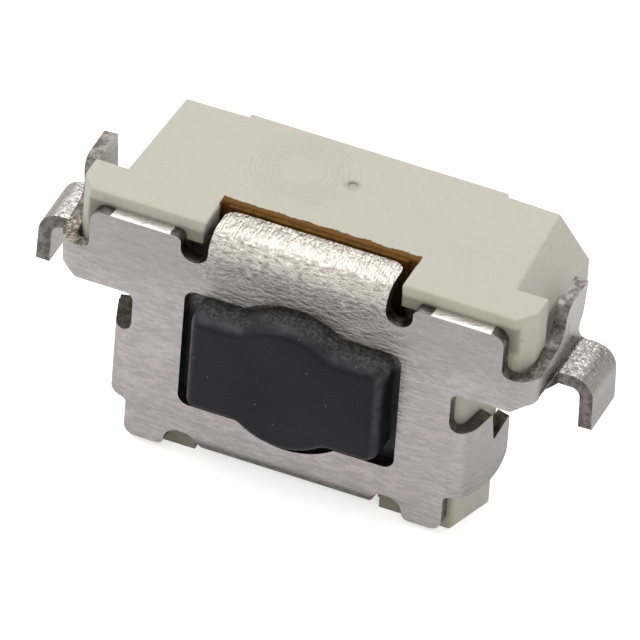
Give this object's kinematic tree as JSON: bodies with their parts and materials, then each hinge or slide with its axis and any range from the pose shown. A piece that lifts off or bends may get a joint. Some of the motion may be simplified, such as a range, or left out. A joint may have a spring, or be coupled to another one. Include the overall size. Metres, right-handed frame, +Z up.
{
  "type": "tactile push button switch",
  "caption": "Side-operated tactile push button switch: cream moulded body, bent metal cover with board hooks, black push button.",
  "frame": {"origin": "centre of the bounding box in X and Y, at the underside of the moulded base", "axes": "+Z up, from the base's underside to its T-shaped top face; -Y out of the front plate, the way the button faces; +X to the right seen from the front"},
  "size_m": [0.0064, 0.0024, 0.003],
  "materials": {
    "sheet_metal": "satin, fine brushed lines",
    "cream_plastic": "matte, slightly translucent",
    "black_plastic": "matte",
    "amber_film": "glossy, translucent",
    "spring_steel": "bright",
    "contact_metal": "plated"
  },
  "bodies": {
    "switch_body": {"metal_frame": "sheet_metal", "base": "cream_plastic", "cover_film": "amber_film", "snap_dome": "spring_steel", "centre_contact": "contact_metal", "rim_contact": "contact_metal"},
    "push_button": {"button": "black_plastic"}
  },
  "joints": [
    {"name": "button_press", "type": "slide", "parent": "switch_body", "child": "push_button", "axis": [0, 1, 0], "range_m": [0, 0.0002], "stiffness_N_per_m": 8000, "deforming": ["snap_dome", "cover_film"]}
  ]
}
